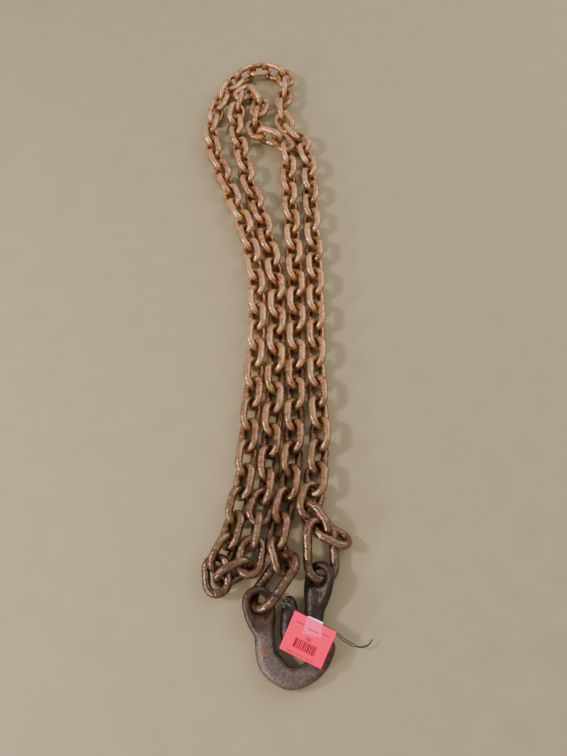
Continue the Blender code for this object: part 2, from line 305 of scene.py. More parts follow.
@dataclass(frozen=True)
class RustedSteel:
    """Low-carbon steel, forged or drawn, rusted outdoors and then handled.

    The eye sees brown oxide with orange bloom, darker scale in the recesses, and a dull shine where links
    rub. Towards the near end its colours are multiplied by a darker shade: painted shade, standing in for
    the shadow over that end.
    """

    name: str
    scale_brown: str = "#6a4228"
    oxide: str = "#9c6c44"
    handled: str = "#b28a64"
    tone_places: tuple[float, float, float] = (0.40, 0.50, 0.62)
    bloom: str = "#b0622a"
    bloom_patch: Patch = Patch(9.0, 5, 1.7, 0.50, 0.67, 0.65)
    bloom_share: float = 0.75
    rose: str = "#a8705e"
    rose_patch: Patch = Patch(17.0, 3, 8.4, 0.50, 0.64)
    rose_share: float = 0.40
    ochre: str = "#aa863e"
    ochre_patch: Patch = Patch(12.0, 3, 3.1, 0.53, 0.66)
    ochre_share: float = 0.75
    # Painted shade: the darker shade multiplied in towards the near end, and the span along Y where it gives
    # way
    near_painted_shade: str = "#86817c"
    painted_shade_span: tuple[float, float] = (-0.50, 0.05)
    metallic: float = 0.60
    roughness: float = 0.19
    roughness_swing: float = 0.30
    rust_dulls: float = 0.30
    specular: float = 1.0
    patch_mm: float = 14.0
    lump_mm: float = 4.0
    grain_mm: float = 1.5
    pit_mm: float = 0.9
    relief_mm: float = 0.9
    bare: Optional[Spot] = None
    bare_colour: str = "#6a5e59"
    bare_patch: Patch = Patch(2.6, 4, 4.4, 0.36, 0.66)
    bare_share: tuple[float, float] = (0.26, 0.34)
    bare_edge: float = 0.024
    spots: tuple[Spot, ...] = ()
    stain: str = "#5e2f06"
    stain_share: float = 0.85

    def make(self) -> bpy.types.Material:
        """Build the node material.

        Returns:
            The new material.
        """
        material, tree, shader, place = blank_material(self.name)

        def noise(size_mm: float, detail: float, shift: float, rough: float = 0.55) -> Any:
            """Noise whose features are about size_mm across."""
            moved = add(tree, "ShaderNodeMapping", {"Vector": place, "Location": (shift, -shift, shift / 2)})
            return add(tree, "ShaderNodeTexNoise", {"Vector": moved.outputs[0], "Scale": 1 / (size_mm * MM),
                                                    "Detail": detail, "Roughness": rough}).outputs["Fac"]

        def value(operation: str, a: Any, b: Any) -> Any:
            """One arithmetic step."""
            return add(tree, "ShaderNodeMath", {0: a, 1: b}, operation=operation).outputs[0]

        def plus(base: Any, source: Any, weight: float, middle: float = 0.0) -> Any:
            """Add a weighted source to a base, less the source's middle value where that is given."""
            centred = value("SUBTRACT", source, middle) if middle else source
            return value("ADD", base, value("MULTIPLY", centred, weight))

        def mask(source: Any, low: float, high: float) -> Any:
            """Zero below low, one above high, with a soft step between."""
            return add(tree, "ShaderNodeMapRange", {"Value": source, "From Min": low, "From Max": high},
                       interpolation_type="SMOOTHSTEP").outputs["Result"]

        def cover(patch: Patch, share: float = 1.0) -> Any:
            """How strongly a patch comes in, up to its share."""
            shown = mask(noise(patch.size_mm, patch.detail, patch.shift, patch.rough), patch.low, patch.high)
            return value("MULTIPLY", shown, share)

        def mixed(factor: Any, a: Any, code: str, blend: str = "MIX") -> Any:
            """Blend a colour with a second one, given as hex."""
            return add(tree, "ShaderNodeMix", {0: factor, 6: a, 7: linear(code)}, data_type="RGBA",
                       blend_type=blend).outputs[2]

        def ball(spot: Spot, soft: float) -> Any:
            """One within a spot's radius, with a ragged edge that fades over soft metres."""
            away = add(tree, "ShaderNodeVectorMath", {0: place, 1: spot[:3]}, operation="DISTANCE")
            away = plus(away.outputs["Value"], noise(8.0, 4, 5.5, 0.65), 1.6 * soft, 0.5)
            return value("SUBTRACT", 1.0, mask(away, spot[3] - soft, spot[3]))

        patches, grain = noise(self.patch_mm, 4, 0.0), noise(self.grain_mm, 3, 0.3, 0.6)
        lumps = noise(self.lump_mm, 3, 2.2, 0.5)
        tint, outer, seam = (add(tree, "ShaderNodeAttribute", attribute_name=channel).outputs["Fac"]
                             for channel in ("tint", "outer", "seam"))

        # The tone follows large patches and fine grain, then lumps, the link's own tint and its outer side
        level = plus(value("MULTIPLY", patches, 0.55), grain, 0.38)
        level = plus(level, lumps, 0.40, 0.43)
        level = plus(plus(level, tint, 0.14, 0.5), outer, 0.12, 0.5)
        tones = (self.scale_brown, self.oxide, self.handled)
        colour = add(tree, "ShaderNodeValToRGB", {0: level},
                     [(at, linear(code)) for at, code in zip(self.tone_places, tones)]).outputs[0]
        # Orange bloom lies in patches and along the weld, takes the metal's shine and makes it rougher
        rust = cover(self.bloom_patch, self.bloom_share)
        rust = value("MAXIMUM", rust, value("MULTIPLY", seam, mask(grain, 0.35, 0.6)))
        colour = mixed(cover(self.rose_patch, self.rose_share), colour, self.rose)
        colour = mixed(rust, colour, self.bloom)
        colour = mixed(cover(self.ochre_patch, self.ochre_share), colour, self.ochre)
        # Painted shade: towards the near end the colours are multiplied by a darker shade, standing in for
        # the shadow over that end
        reach = add(tree, "ShaderNodeSeparateXYZ", {0: place}).outputs["Y"]
        near = value("SUBTRACT", 1.0, mask(reach, *self.painted_shade_span))
        colour = mixed(near, colour, self.near_painted_shade, "MULTIPLY")
        metal = value("MULTIPLY", value("SUBTRACT", 1.0, rust), self.metallic)
        gloss = plus(self.roughness - self.roughness_swing / 2, grain, self.roughness_swing)
        gloss = plus(gloss, rust, self.rust_dulls)
        if self.bare:
            least, more = self.bare_share
            worn = value("MULTIPLY", ball(self.bare, self.bare_edge),
                         value("ADD", cover(self.bare_patch, more), least))
            colour = mixed(worn, colour, self.bare_colour)
            gloss = plus(gloss, worn, 0.10)
        for spot in self.spots:
            stained = value("MULTIPLY", ball(spot, 0.75 * spot[3]), self.stain_share)
            colour = mixed(stained, colour, self.stain)
            gloss = plus(gloss, stained, 0.15)
            metal = value("MULTIPLY", metal, value("SUBTRACT", 1.0, stained))
        # Scale stands up in lumps, with a little grain and fine pitting on them
        pits = plus(value("MULTIPLY", grain, 0.22), noise(self.pit_mm, 2, 7.0), 0.05)
        bump = add(tree, "ShaderNodeBump", {"Height": value("ADD", pits, lumps), "Strength": 0.9,
                                            "Distance": self.relief_mm * MM})
        for socket, source in (("Base Color", colour), ("Metallic", metal), ("Roughness", gloss),
                               ("Normal", bump.outputs[0])):
            tree.links.new(source, shader.inputs[socket])
        shader.inputs["Specular IOR Level"].default_value = self.specular
        return material


@dataclass(frozen=True)
class Plain:
    """Printed card, clear film tape, uncoated paper, faded ink, moulded nylon or a swept floor.

    The eye sees two near tones in a fine grain, whose slight relief breaks up the shine. Where the
    last value is given, the colour turns to its third value between its two places along Y, as painted light
    that makes one edge lighter.
    """

    name: str
    colour: str
    shade: str
    roughness: float
    grain_mm: float
    relief_mm: float
    specular: float = 0.5
    painted_light_ramp: Optional[tuple[float, float, str]] = None

    def make(self) -> bpy.types.Material:
        """Build the node material.

        Returns:
            The new material.
        """
        material, tree, shader, place = blank_material(self.name)
        noise = {"Vector": place, "Scale": 1 / (self.grain_mm * MM), "Detail": 3.0}
        grain = add(tree, "ShaderNodeTexNoise", noise).outputs["Fac"]
        tones = {0: grain, 6: linear(self.colour), 7: linear(self.shade)}
        colour = add(tree, "ShaderNodeMix", tones, data_type="RGBA").outputs[2]
        relief = {"Height": grain, "Strength": 0.3, "Distance": self.relief_mm * MM}
        if self.painted_light_ramp:
            low, high, far = self.painted_light_ramp
            reach = add(tree, "ShaderNodeSeparateXYZ", {0: place}).outputs["Y"]
            share = add(tree, "ShaderNodeMapRange", {"Value": reach, "From Min": low, "From Max": high})
            tones = {0: share.outputs["Result"], 6: colour, 7: linear(far)}
            colour = add(tree, "ShaderNodeMix", tones, data_type="RGBA").outputs[2]
        tree.links.new(colour, shader.inputs["Base Color"])
        tree.links.new(add(tree, "ShaderNodeBump", relief).outputs[0], shader.inputs["Normal"])
        shader.inputs["Roughness"].default_value = self.roughness
        shader.inputs["Specular IOR Level"].default_value = self.specular
        return material


@dataclass
class LinkSize:
    """The sizes of one kind of link."""

    wire: float
    inside_length: float
    inside_width: float
    along: int = 48
    around: int = 14
    weld_reach: float = 0.17
    weld_swell: float = 0.07
    waver: float = 0.012

    @property
    def arc(self) -> float:
        """Radius of the centre line at the ends."""
        return (self.inside_width + self.wire) / 2

    @property
    def span(self) -> float:
        """Length of the straight sides."""
        return self.inside_length - self.inside_width

    def surface(self, pose: Pose, weld: Weld, seed: int) -> tuple[np.ndarray, np.ndarray, dict]:
        """Sweep a circle round a link's centre line.

        The centre line is two straight sides joined by two half circles. A point is the centre line plus the
        wire's radius times (cos v outwards + sin v along the link's own normal). The radius swells by a
        narrow Gaussian at the weld, in the middle of one side, and wavers by about two hundredths of itself.

        Args:
            pose: one end's arc centre, the other's, and the direction across the link.
            weld: the side that the weld is on.
            seed: number that sets this link's waver and tint.

        Returns:
            Points, quads, and the point attributes tint, outer and seam.
        """
        a, b, across = pose
        heading = unit(b - a)
        normal = np.cross(heading, across)
        length = 2 * self.span + 2 * math.pi * self.arc
        s = np.linspace(0, length, self.along, endpoint=False)
        half = math.pi * self.arc
        legs = [self.span / 2, self.span / 2 + half, 1.5 * self.span + half, 1.5 * self.span + 2 * half]
        turn = np.clip(s - legs[0], 0, half) / self.arc + np.clip(s - legs[2], 0, half) / self.arc
        run = np.clip(s, 0, legs[0]) - np.clip(s - legs[1], 0, self.span)
        run = run + np.clip(s - legs[3], 0, self.span / 2)
        middle = (a + b) / 2
        outward = np.cos(turn)[:, None] * across + np.sin(turn)[:, None] * heading
        line = middle + run[:, None] * heading + self.arc * outward
        v = full_turn(self.around)
        rng = np.random.default_rng(seed)
        start = 0.0 if weld is Weld.RIGHT else length / 2
        away = (s - start + length / 2) % length - length / 2
        bead = np.exp(-(away / (self.weld_reach * self.wire)) ** 2)
        ripple = self.waver * np.sin(2 * math.pi * (3 * s / length + rng.random())) + self.weld_swell * bead
        swell = 1 + ripple[:, None] + self.waver * np.sin(2 * v + 6 * rng.random())[None, :]
        ring = np.cos(v)[None, :, None] * outward[:, None, :] + np.sin(v)[None, :, None] * normal
        points = line[:, None, :] + self.wire / 2 * swell[..., None] * ring
        shape = (self.along, self.around)
        channels = {
            "tint": np.full(shape, rng.random()),
            "outer": np.broadcast_to(0.5 + 0.5 * np.cos(v)[None, :], shape),
            "seam": np.broadcast_to(bead[:, None], shape),
        }
        return points.reshape(-1, 3), grid_faces(*shape, True, True)[:, ::-1], channels


@dataclass
class Chain:
    """The whole chain: how its links follow each other along the routes, and the pieces they make."""

    link: LinkSize = field(default_factory=lambda: LinkSize(0.010, 0.031, 0.015))
    coupling: LinkSize = field(default_factory=lambda: LinkSize(0.0112, 0.057, 0.0232, along=64, around=18))
    section_share: float = 0.55
    join_bite: float = 0.0005
    loop_bite: float = 0.0006
    joint_gap: float = 0.00035
    links_in_group: int = 3
    lean: float = 45.0
    outer_links: int = 59
    seed_base: int = 100

    @property
    def touching(self) -> float:
        """How far one arc centre lies past the other where two links touch."""
        return 2 * (self.link.arc - self.link.wire * self.section_share * TOUCH_SHARE)

    def resting(self, row: Row) -> np.ndarray:
        """Give a route's row its height: the lower side of a leaning link touches the floor.

        Args:
            row: x, y, lift and flatness.

        Returns:
            x, y, z and flatness.
        """
        x, y, lift, flat = row
        one = abs(math.sin(math.radians(self.lean * (1 + flat))))
        other = abs(math.sin(math.radians(self.lean * (1 - flat))))
        low = REST_SHARE * self.link.wire * self.section_share
        return np.array([x, y, low + self.link.arc * max(one, other) + lift, flat])

    def joint(self, number: int, flat: float, shift: int) -> float:
        """How far one arc centre lies past the other at a joint.

        Args:
            number: the joint's number along the strand.
            flat: the flatness there.
            shift: how many links the groups start late.

        Returns:
            The distance in metres.
        """
        if (number - shift) % self.links_in_group == self.links_in_group - 1:
            return self.touching - self.joint_gap
        return self.touching + self.join_bite + self.loop_bite * max(0.0, 1 - abs(1 - flat))

    def crossing(self, curve: np.ndarray, first: int, here: np.ndarray,
                 chord: float) -> Optional[tuple[int, np.ndarray]]:
        """Find the next place on a curve that lies one chord away.

        Args:
            curve: the points of the curve, with their flatness.
            first: the stretch to start from.
            here: where the chord starts.
            chord: its length.

        Returns:
            The stretch and the place, or None past the curve's end.
        """
        a, b = curve[first:-1], curve[first + 1:]
        d, m = b[:, :3] - a[:, :3], a[:, :3] - here
        square, middle = (d * d).sum(1), 2 * (d * m).sum(1)
        inside = middle ** 2 - 4 * square * ((m * m).sum(1) - chord * chord)
        s = np.where(inside >= 0, (-middle + np.sqrt(np.maximum(inside, 0))) / (2 * square), -1.0)
        hits = np.flatnonzero((inside >= 0) & (s >= 0) & (s <= 1))
        if not len(hits):
            return None
        k = hits[0]
        return first + int(k), a[k] + s[k] * (b[k] - a[k])

    def laid(self, route: Sequence[Row], parity: int, shift: int = 0,
             most: Optional[int] = None) -> list[Pose]:
        """Lay links along a route: every other link spans its own chord, and those between bridge the gaps.

        Args:
            route: rows of x, y, lift and flatness.
            parity: 0 where the first link spans its own chord, 1 where the second does.
            shift: how many links the groups start late.
            most: the most links wanted, or None for all that fit.

        Returns:
            Each link's pose.
        """
        curve = np.array([self.resting(row) for row in through(route)])
        corners, at = [curve[0]], 0
        while True:
            k = len(corners) - 1
            flat = corners[k][3]
            chord = self.link.span
            if (k + parity) % 2:
                chord += self.joint(k - 1, flat, shift) + self.joint(k, flat, shift)
            hit = self.crossing(curve, at, corners[-1][:3], chord)
            if hit is None:
                break
            at, spot = hit
            corners.append(spot)
        out = []
        for k in range(len(corners) - 1)[:most]:
            a, b = corners[k][:3], corners[k + 1][:3]
            heading = unit(b - a)
            flat = (corners[k][3] + corners[k + 1][3]) / 2
            lean = self.lean * (1 - flat)
            if (k + parity) % 2:
                a = a + heading * self.joint(k - 1, corners[k][3], shift)
                b = a + heading * self.link.span
                lean = -self.lean * (1 + flat)
            out.append(self.pose(a, b, heading, math.radians(lean)))
        return out

    @staticmethod
    def pose(a: np.ndarray, b: np.ndarray, heading: np.ndarray, roll: float) -> Pose:
        """Shift a link to the frame's origin and give it the direction across it.

        Args:
            a: one arc centre.
            b: the other.
            heading: unit vector from a to b.
            roll: how far the link's right side is raised, in radians.

        Returns:
            The pose.
        """
        side = unit(np.cross(heading, UP))
        across = math.cos(roll) * side + math.sin(roll) * np.cross(side, heading)
        return a + ORIGIN_SHIFT, b + ORIGIN_SHIFT, across

    def placed(self, row: Row, size: LinkSize) -> Pose:
        """Place one link from its given row.

        Args:
            row: x, y, z of its middle, heading, pitch and roll in degrees.
            size: the link's sizes.

        Returns:
            The pose.
        """
        turn, pitch, roll = (math.radians(v) for v in row[3:])
        level = math.cos(pitch)
        heading = np.array([math.cos(turn) * level, math.sin(turn) * level, math.sin(pitch)])
        middle = np.array(row[:3], float)
        return self.pose(middle - heading * size.span / 2, middle + heading * size.span / 2, heading, roll)

    def piece(self, node: str, poses: Sequence[tuple[Pose, LinkSize]], first: int) -> bpy.types.Object:
        """Make one piece of the links that a CAD node holds.

        Args:
            node: the CAD node's name.
            poses: the links' poses and sizes.
            first: number of the first link, which sets the side of its weld and its seed.

        Returns:
            The new object.
        """
        points, faces, channels, base = [], [], {"tint": [], "outer": [], "seam": []}, 0
        for k, (pose, size) in enumerate(poses):
            weld = Weld.RIGHT if (first + k) % 2 else Weld.LEFT
            grid, quads, extra = size.surface(pose, weld, self.seed_base + first + k)
            points.append(grid)
            faces.append(quads + base)
            base += len(grid)
            for key, values in extra.items():
                channels[key].append(np.ravel(values))
        merged = {key: np.concatenate(values) for key, values in channels.items()}
        return mesh_piece(f"steel_{node}", np.vstack(points), np.vstack(faces), merged)

    def strand(self, name: str, poses: Sequence[Pose], steel: bpy.types.Material, shift: int = 0,
               skipped: int = 0, first: int = 0) -> None:
        """Make the pieces of one strand, one for each group of links.

        Args:
            name: the start of the nodes' names.
            poses: the strand's links.
            steel: their material.
            shift: how many links the groups start late.
            skipped: links at the start that the strand leaves out.
            first: number of the strand's first link.
        """
        starts = range(shift - self.links_in_group if shift else 0, len(poses), self.links_in_group)
        for number, start in enumerate(starts, 1):
            low = max(start, skipped)
            node = f"{name}_{number:02d}"
            group = [(pose, self.link) for pose in poses[low:start + self.links_in_group]]
            finish_piece(self.piece(node, group, first + low), steel, "link_steel", node)

    def build(self, steel: bpy.types.Material) -> None:
        """Make every link and coupling link.

        Args:
            steel: their material.
        """
        self.strand("inner_run", self.laid(INNER_ROUTE, 1), steel, skipped=1)
        outer = self.laid(OUTER_ROUTE, 0, shift=1, most=self.outer_links)
        self.strand("outer_run", outer[:-1], steel, shift=1, first=FIRST_NUMBERS["outer_run"])
        singles = enumerate([FIRST_LINK, *NEAR_LOOP], 1)
        by_hand = {f"single_link_{k}": [(row, self.link)] for k, row in singles}
        by_hand["slip_coupling"] = [(SLIP_COUPLING, self.coupling)]
        by_hand["end_links"] = [(row, self.link) for row in LAST_LINKS] + [(GRAB_COUPLING, self.coupling)]
        for k, (node, rows) in enumerate(by_hand.items()):
            links = [(self.placed(row, size), size) for row, size in rows]
            if node == "end_links":
                links.insert(0, (outer[-1], self.link))
            first = FIRST_NUMBERS.get(node, FIRST_NUMBERS["single_link"] + k)
            finish_piece(self.piece(node, links, first), steel, "link_steel", node)


@dataclass
class ForgedHook:
    """A drop-forged eye hook: a tapering curved bar that grows out of a round eye."""

    node: str
    spine: Sequence[Row]
    eye: tuple[float, float]
    eye_height: float
    eye_across: float
    eye_turn: float
    eye_tilt: float
    width: float = 0.023
    thickness: float = 0.021
    roundness: float = 0.95
    rise_share: float = 1.35
    squareness: float = 0.85
    eye_section: float = 0.0096
    shoulder_lean: float = 72.0
    shoulder_lead: float = 0.30
    shoulder_offset: float = 0.14
    shoulder_radius: float = 0.33
    spine_steps: int = 8
    bar_around: int = 40
    eye_along: int = 96
    eye_around: int = 32
    shoulder_along: int = 14
    shoulder_around: int = 20
    voxel: float = 0.00085
    ease_factor: float = 0.6
    ease_rounds: int = 14

    def bar(self) -> Part:
        """Sweep a rounded section along the spine.

        A point is the spine plus half the width there times |cos v| to the squareness sideways, and plus the
        half height times |sin v| to the squareness upwards, with the signs of the sine and cosine. The half
        height is the half width times the roundness and the rise share, held by a hyperbolic tangent to half
        the hook's thickness.

        Returns:
            Points and faces, with both ends closed.
        """
        rows = through(self.spine, self.spine_steps)
        limit = self.thickness / 2
        line = np.column_stack([rows[:, :2], np.full(len(rows), limit)]) + ORIGIN_SHIFT
        side = np.cross(unit(np.gradient(line, axis=0)), UP)
        reach = rows[:, 2] * self.width / 2
        rise = limit * np.tanh(self.roundness * self.rise_share * reach / limit)
        v = full_turn(self.bar_around)
        wide, tall = (np.sign(wave) * np.abs(wave) ** self.squareness for wave in (np.cos(v), np.sin(v)))
        points = (line[:, None] + reach[:, None, None] * wide[None, :, None] * side[:, None]
                  + rise[:, None, None] * tall[None, :, None] * UP)
        return points.reshape(-1, 3), capped(len(rows), self.bar_around)

    def on_ring(self, u: np.ndarray) -> np.ndarray:
        """Points of the eye's centre circle.

        Args:
            u: angles round the circle before it is tilted.

        Returns:
            One point for each angle.
        """
        turn = math.radians(self.eye_turn)
        axis = Vector((math.cos(turn), math.sin(turn), 0))
        tilt = np.array(Matrix.Rotation(math.radians(self.eye_tilt), 3, axis))
        radius = (self.eye_across - self.eye_section) / 2
        flat = np.stack([radius * np.cos(u), radius * np.sin(u), 0 * u], axis=-1)
        return flat @ tilt.T + np.array([*self.eye, self.eye_height]) + ORIGIN_SHIFT

    def shoulder(self, lean: float) -> Part:
        """Draw one shoulder out of the eye's side into the shank.

        The middle line is a quadratic curve. It starts on the eye's centre circle, lean degrees off the
        shank's own line, sets off along that line, and ends beside the shank's middle. The radius of its
        round section grows evenly from the eye's to a third of the hook's width.

        Args:
            lean: angle off the shank's line, in degrees, to the left where positive.

        Returns:
            Points and faces.
        """
        shank = np.array([*self.spine[2][:2], self.thickness / 2]) + ORIGIN_SHIFT
        centre = np.array([*self.eye, self.eye_height]) + ORIGIN_SHIFT
        down = math.atan2(shank[1] - centre[1], shank[0] - centre[0])
        start = self.on_ring(np.array([down + math.radians(lean)]))[0]
        offset = self.width * self.shoulder_offset * math.copysign(1, lean)
        target = shank + np.cross(UP, unit(shank - centre)) * offset
        bend = start + (shank - centre) * self.shoulder_lead
        t = np.linspace(0, 1, self.shoulder_along)[:, None]
        line = (1 - t) ** 2 * start + 2 * t * (1 - t) * bend + t ** 2 * target
        small, large = self.eye_section / 2, self.width * self.shoulder_radius
        return tube(line, small + (large - small) * t[:, 0], self.shoulder_around)

    def ring(self) -> Part:
        """Turn the eye's round section about the eye's axis, as a torus.

        Returns:
            Points and quads of the torus.
        """
        v = full_turn(self.eye_around)[None, :, None]
        line = self.on_ring(full_turn(self.eye_along))
        out = unit(line - line.mean(0))
        axis = np.cross(out[0], out[self.eye_along // 4])
        points = line[:, None] + self.eye_section / 2 * (np.cos(v) * out[:, None] + np.sin(v) * axis)
        quads = grid_faces(self.eye_along, self.eye_around, True, True)
        return points.reshape(-1, 3), quads[:, ::-1].tolist()

    def build(self, steel: bpy.types.Material) -> None:
        """Blend bar and eye into one skin, smooth their junction and dress it.

        Args:
            steel: the hook's material.
        """
        shoulders = [self.shoulder(lean) for lean in (self.shoulder_lean, -self.shoulder_lean)]
        piece = mesh_piece(f"steel_{self.node}", *joined([self.bar(), self.ring(), *shoulders]))
        skin = piece.modifiers.new("skin", "REMESH")
        skin.mode, skin.voxel_size = "VOXEL", self.voxel
        ease = piece.modifiers.new("ease", "SMOOTH")
        ease.factor, ease.iterations = self.ease_factor, self.ease_rounds
        bpy.context.view_layer.update()
        mesh = bpy.data.meshes.new_from_object(piece.evaluated_get(bpy.context.evaluated_depsgraph_get()))
        piece.modifiers.clear()
        piece.data = mesh
        mesh.shade_smooth()
        finish_piece(piece, steel, "hook_steel", self.node)


@dataclass
class PriceTag:
    """A pink card over the hooks, with a strip of clear tape, a slip of white paper and plain bars."""

    corners: Sequence[Row]
    top: float
    thickness: float = 0.0004
    film: float = 0.00005
    bow: float = 0.0012
    bow_at_top: float = 0.4
    whole: tuple[Row, ...] = ((0, 0), (1, 0), (1, 1), (0, 1))
    slip: tuple[Row, ...] = ((0.32, -0.035), (0.655, -0.06), (0.655, 0.01), (0.32, 0.01))
    strip: tuple[Row, ...] = ((0.285, -0.012), (0.665, -0.012), (0.74, 0.31), (0.345, 0.42))
    bar_ends: tuple[float, float] = (0.575, 0.81)
    bars: tuple[Row, ...] = (
        (0.245, 0.058), (0.325, 0.022), (0.365, 0.030), (0.415, 0.020), (0.455, 0.040), (0.515, 0.026),
        (0.560, 0.044), (0.622, 0.034), (0.674, 0.044), (0.735, 0.018),
    )
    rules: tuple[Row, ...] = (
        (0.115, 0.205, 0.300, 0.235), (0.715, 0.190, 0.895, 0.220), (0.42, 0.235, 0.66, 0.262),
        (0.455, 0.455, 0.570, 0.535), (0.150, 0.925, 0.300, 0.955), (0.340, 0.930, 0.570, 0.948),
        (0.620, 0.930, 0.790, 0.955),
    )

    def sheet(self, name: str, spread: Sequence[Row], lift: float, thickness: float,
              cells: int = 24) -> bpy.types.Object:
        """Make a thin closed sheet over part of the card.

        The spread's four corners, in shares of the card's sides, are blended bilinearly over the grid, and
        the card's own corners are blended by the shares that result. The height is the card's top plus the
        bow times (2u - 1)^2 - 1, so the middle sags between its sides, and less so towards the upper edge.
        The underside is the same surface, lower by the thickness.

        Args:
            name: the piece's name.
            spread: the part's corners as shares of the card's upper and left sides, in turn.
            lift: how far it lies over the card's own top.
            thickness: how thick the sheet is.
            cells: cells each way.

        Returns:
            The new object.
        """
        n = cells + 1
        s, t = np.linspace(0, 1, n)[:, None, None], np.linspace(0, 1, n)[None, :, None]

        def blend(four: np.ndarray, a: np.ndarray, b: np.ndarray) -> np.ndarray:
            """Blend four corners bilinearly."""
            near, far = (1 - a) * four[0] + a * four[1], a * four[2] + (1 - a) * four[3]
            return (1 - b) * near + b * far

        shares = blend(np.array(spread, float), s, t)
        u, v = shares[..., :1], shares[..., 1:]
        flat = blend(np.array(self.corners, float), u, v)
        share = self.bow_at_top + (1 - self.bow_at_top) * v
        z = self.top + lift + self.bow * ((2 * u - 1) ** 2 - 1) * share
        upper = np.concatenate([flat, z], axis=-1).reshape(-1, 3) + ORIGIN_SHIFT
        lower = upper - np.array([0, 0, thickness])
        quads = grid_faces(n, n, False, False)
        numbers = np.arange(n * n).reshape(n, n)
        rim = np.concatenate([numbers[0], numbers[1:, -1], numbers[-1, -2::-1], numbers[-2:0:-1, 0]])
        walls = np.stack([rim, np.roll(rim, -1), np.roll(rim, -1) + n * n, rim + n * n], axis=-1)
        faces = np.vstack([quads, quads[:, ::-1] + n * n, walls[:, ::-1]])
        piece = mesh_piece(name, np.vstack([upper, lower]), faces)
        piece.data.set_sharp_from_angle(angle=math.radians(40))
        return piece

    def build(self) -> None:
        """Make the card and what is stuck and printed on it."""
        # Painted light: the card turns from its own pink to a lighter pink from its near edge to its far edge
        painted_light_ramp = (-0.525, -0.460, "#fa0a50")
        card = Plain("card_pink", "#f00048", "#ea0042", 0.65, 3.0, 0.02, 0.0, painted_light_ramp).make()
        tape = Plain("tape_clear", "#ff3a70", "#f84878", 0.5, 4.0, 0.02, 0.1).make()
        paper = Plain("paper_white", "#e6e6ee", "#d6d8e4", 0.7, 2.0, 0.02).make()
        ink = Plain("ink_faded", "#7c0e28", "#8c1832", 0.7, 1.0, 0.01, 0.15).make()
        faint = Plain("ink_faint", "#a01c38", "#b82c4c", 0.7, 1.0, 0.01, 0.15).make()
        film = self.film
        finish_piece(self.sheet("tag_card", self.whole, 0.0, self.thickness), card, "tag_card", "price_tag")
        finish_piece(self.sheet("tag_paper", self.slip, film, film, 8), paper, "tag_card")
        finish_piece(self.sheet("tag_tape", self.strip, 2 * film, film, 10), tape, "tag_card")
        head, foot = self.bar_ends
        marks = [(start, head, start + wide, foot, ink) for start, wide in self.bars]
        marks += [(*rule, faint) for rule in self.rules]
        for number, (left, upper, right, lower, print_on) in enumerate(marks, 1):
            mark = [(left, upper), (right, upper), (right, lower), (left, lower)]
            piece = self.sheet(f"tag_mark_{number:02d}", mark, 2.5 * film, film, 2)
            finish_piece(piece, print_on, "tag_card")


@dataclass
class TagTie:
    """A black moulded nylon tie: a ladder of two rails and their rungs that runs out into a smooth tail."""

    route: Sequence[Row]
    across: float = 0.0034
    rail: float = 0.0009
    rung_share: float = 0.45
    pitch: float = 0.0036
    tail: float = 0.026
    closing: float = 0.005
    tail_tip: float = 0.0005
    tail_growth: float = 0.0006
    knot: Row = (0.0228, -0.4447, 0.0325)
    knot_reach: Row = (0.0064, 0.0036, 0.0022)
    knot_loops: float = 0.55
    knot_turn: float = -30.0
    thread: float = 0.0003
    steps: int = 60
    rings: int = 520

    def ladder(self, line: np.ndarray, s: np.ndarray) -> list[Part]:
        """Make the rails, the rungs and the tail.

        The rails run half the strap's width less their own radius off the middle line. That distance falls to
        nothing as a cosine over the closing length, at the start of the tail. The tail's radius is that of
        its tip plus its growth times the square root of the share of the tail that is left.

        Args:
            line: the middle line.
            s: the distance along it.

        Returns:
            The tubes' points and faces.
        """
        side = unit(np.cross(np.gradient(line, axis=0), UP))
        end = s[-1] - self.tail
        close = np.clip((s - end) / self.closing, 0, 1)
        off = (self.across - self.rail) / 2 * (0.5 + 0.5 * np.cos(math.pi * close))
        rails = s < end + self.closing
        thick = np.full(rails.sum(), self.rail / 2)
        apart = off[rails, None] * side[rails]
        parts = [tube(line[rails] + sign * apart, thick, 10) for sign in (-1, 1)]
        last = s > end + 0.6 * self.closing
        left = (s[-1] - s[last]) / self.tail
        parts.append(tube(line[last], self.tail_tip + self.tail_growth * np.sqrt(left), 10))
        for place in np.arange(self.pitch / 2, end, self.pitch):
            k = int(np.searchsorted(s, place))
            reach = np.linspace(-off[k], off[k], 3)[:, None]
            parts.append(tube(line[k] + reach * side[k], np.full(3, self.rung_share * self.rail), 8))
        return parts

    def tangle(self) -> bpy.types.Object:
        """Make the tangle of clear nylon thread on the strap: a closed curve with five loops of uneven size.

        A point is the knot's middle plus its three reaches times (cos u + k cos 4u) to the right,
        (sin u - k sin 4u) away and sin 3u up, where k is the share of the loops, all turned clockwise.

        Returns:
            The new object.
        """
        u = np.linspace(0, 2 * math.pi, 240)
        right = np.cos(u) + self.knot_loops * np.cos(4 * u)
        away = np.sin(u) - self.knot_loops * np.sin(4 * u)
        waves = np.stack([right, away, np.sin(3 * u)], axis=-1) * np.array(self.knot_reach)
        turn = np.array(Matrix.Rotation(math.radians(self.knot_turn), 3, "Z"))
        line = waves @ turn.T + np.array(self.knot) + ORIGIN_SHIFT
        return mesh_piece("tie_tangle", *tube(line, np.full(len(line), self.thread), 8))

    def build(self) -> None:
        line = through(self.route, self.steps) + ORIGIN_SHIFT
        step = np.linalg.norm(np.diff(line, axis=0), axis=1)
        s = np.concatenate([[0.0], np.cumsum(step)])
        even = np.linspace(0, s[-1], self.rings)
        line = np.column_stack([np.interp(even, s, line[:, k]) for k in range(3)])
        piece = mesh_piece("tie_strap", *joined(self.ladder(line, even)))
        nylon = Plain("nylon_black", "#16130f", "#201c17", 0.32, 1.5, 0.02).make()
        finish_piece(piece, nylon, "tie_plastic", "tag_tie")
        thread = Plain("nylon_clear", "#5f655d", "#434a43", 0.4, 1.5, 0.02).make()
        tangle = self.tangle()
        finish_piece(tangle, thread, "tie_plastic")


